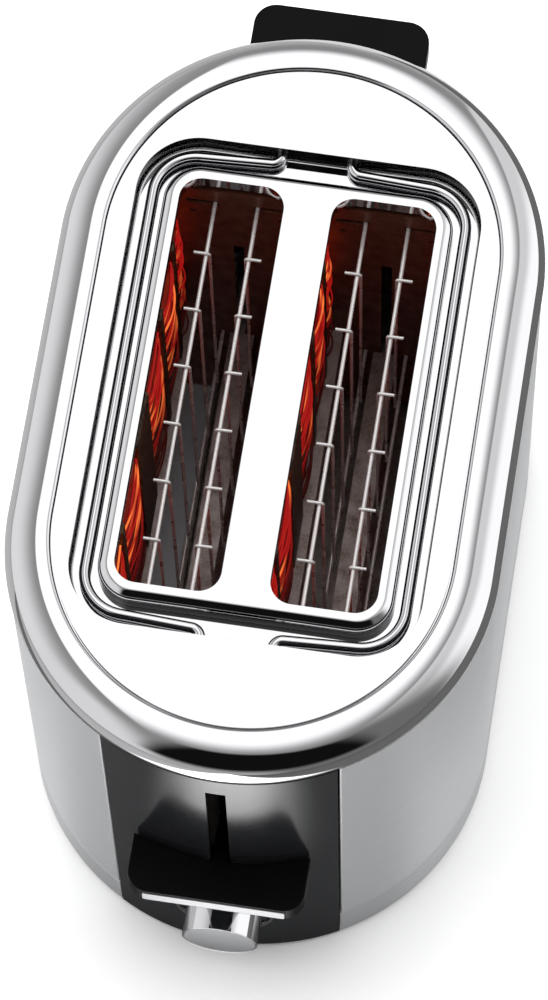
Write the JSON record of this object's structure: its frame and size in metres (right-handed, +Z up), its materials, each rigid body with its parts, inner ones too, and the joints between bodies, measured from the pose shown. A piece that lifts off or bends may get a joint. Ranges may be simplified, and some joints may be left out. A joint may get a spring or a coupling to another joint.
{
  "type": "toaster",
  "caption": "Two-slot toaster with round ends, chrome top, steel sides, dark grey end panels, a wide front lever, a knob and a fold-up bun rack.",
  "frame": {"origin": "on the table under the middle of the toaster", "axes": "+Z up, +Y to the back along the length, with the bread lever and knob at the front on -Y, +X to the right seen from the front"},
  "size_m": [0.17, 0.31, 0.2016],
  "materials": {
    "chrome": "polished chrome plate",
    "brushed_steel": "fine satin steel",
    "plated_sheet": "plain plated sheet, dull",
    "panel_grey": "glossy dark grey",
    "silver_plastic": "silver-grey, satin",
    "black_plastic": "black, soft satin",
    "rubber": "matt black rubber",
    "mica": "mica sheet, brown and mottled",
    "heater_wire": "resistance wire, glowing when on",
    "board_green": "glass fibre circuit board",
    "copper": "enamelled copper wire, wound and wrapped"
  },
  "bodies": {
    "root": {"base": "silver_plastic", "foot_front_left": "rubber", "foot_front_right": "rubber", "foot_back_left": "rubber", "foot_back_right": "rubber", "base_screw_front_left": "plated_sheet", "base_screw_front_right": "plated_sheet", "base_screw_back_left": "plated_sheet", "base_screw_back_right": "plated_sheet", "lead_bush": "rubber", "left_side_shell": "brushed_steel", "right_side_shell": "brushed_steel", "front_panel": "panel_grey", "back_panel": "panel_grey", "top_rim": "chrome", "top_plate": "chrome", "slot_plate": "chrome", "front_end_plate": "plated_sheet", "back_end_plate": "plated_sheet", "left_reflector": "plated_sheet", "right_reflector": "plated_sheet", "centre_rail": "plated_sheet", "mica_board_outer_left": "mica", "mica_board_inner_left": "mica", "mica_board_inner_right": "mica", "mica_board_outer_right": "mica", "heater_winding_outer_left": "heater_wire", "heater_winding_inner_left": "heater_wire", "heater_winding_inner_right": "heater_wire", "heater_winding_outer_right": "heater_wire", "front_guide_rod": "brushed_steel", "back_guide_rod": "brushed_steel", "back_rod_bracket": "plated_sheet", "magnet_core": "plated_sheet", "magnet_coil": "copper", "circuit_board": "board_green", "browning_control": "plated_sheet", "knob_bezel": "chrome", "lift_spring": "brushed_steel"},
    "carriage": {"carriage_block": "black_plastic", "bread_carrier_left": "plated_sheet", "bread_carrier_right": "plated_sheet", "latch_keeper": "plated_sheet", "bread_lever": "black_plastic", "bread_lever_trim": "brushed_steel"},
    "guide_left_outer": {"bread_guide_left_outer": "chrome"},
    "guide_left_inner": {"bread_guide_left_inner": "chrome"},
    "guide_right_inner": {"bread_guide_right_inner": "chrome"},
    "guide_right_outer": {"bread_guide_right_outer": "chrome"},
    "knob": {"browning_knob": "chrome", "knob_shaft": "brushed_steel"},
    "rack_slider": {"rack_cam_plate": "plated_sheet", "rack_lever": "black_plastic", "rack_lever_trim": "brushed_steel"},
    "rack_left": {"bun_rack_left": "chrome", "rack_crank_left": "plated_sheet"},
    "rack_right": {"bun_rack_right": "chrome", "rack_crank_right": "plated_sheet"},
    "tray": {"crumb_tray": "plated_sheet"}
  },
  "joints": [
    {"name": "carriage_slide", "type": "slide", "parent": "root", "child": "carriage", "axis": [0, 0, 1], "range_m": [0, 0.07], "deforming": ["lift_spring"]},
    {"name": "guide_left_outer_hinge", "type": "hinge", "parent": "root", "child": "guide_left_outer", "pos_m": [-0.03445, 0, 0.064], "axis": [0, -1, 0], "range_deg": [0, 3]},
    {"name": "guide_left_inner_hinge", "type": "hinge", "parent": "root", "child": "guide_left_inner", "pos_m": [-0.01925, 0, 0.064], "axis": [0, 1, 0], "range_deg": [0, 3]},
    {"name": "guide_right_inner_hinge", "type": "hinge", "parent": "root", "child": "guide_right_inner", "pos_m": [0.01925, 0, 0.064], "axis": [0, -1, 0], "range_deg": [0, 3]},
    {"name": "guide_right_outer_hinge", "type": "hinge", "parent": "root", "child": "guide_right_outer", "pos_m": [0.03445, 0, 0.064], "axis": [0, 1, 0], "range_deg": [0, 3]},
    {"name": "knob_turn", "type": "hinge", "parent": "root", "child": "knob", "pos_m": [0, -0.1393, 0.041], "axis": [0, -1, 0], "range_deg": [-135, 135]},
    {"name": "rack_lever_slide", "type": "slide", "parent": "root", "child": "rack_slider", "axis": [0, 0, -1], "range_m": [0, 0.016]},
    {"name": "rack_left_hinge", "type": "hinge", "parent": "root", "child": "rack_left", "pos_m": [-0.0125, 0, 0.1955], "axis": [0, 1, 0], "range_deg": [0, 50]},
    {"name": "rack_right_hinge", "type": "hinge", "parent": "root", "child": "rack_right", "pos_m": [0.0125, 0, 0.1955], "axis": [0, -1, 0], "range_deg": [0, 50]},
    {"name": "crumb_tray_slide", "type": "slide", "parent": "root", "child": "tray", "axis": [0, 1, 0], "range_m": [0, 0.15]}
  ],
  "couplings": [
    {"joint": "guide_left_outer_hinge", "follows": "carriage_slide", "rad_per_m": 0.747},
    {"joint": "guide_left_inner_hinge", "follows": "carriage_slide", "rad_per_m": 0.747},
    {"joint": "guide_right_inner_hinge", "follows": "carriage_slide", "rad_per_m": 0.747},
    {"joint": "guide_right_outer_hinge", "follows": "carriage_slide", "rad_per_m": 0.747},
    {"joint": "rack_left_hinge", "follows": "rack_lever_slide", "rad_per_m": 54.5},
    {"joint": "rack_right_hinge", "follows": "rack_lever_slide", "rad_per_m": 54.5}
  ]
}
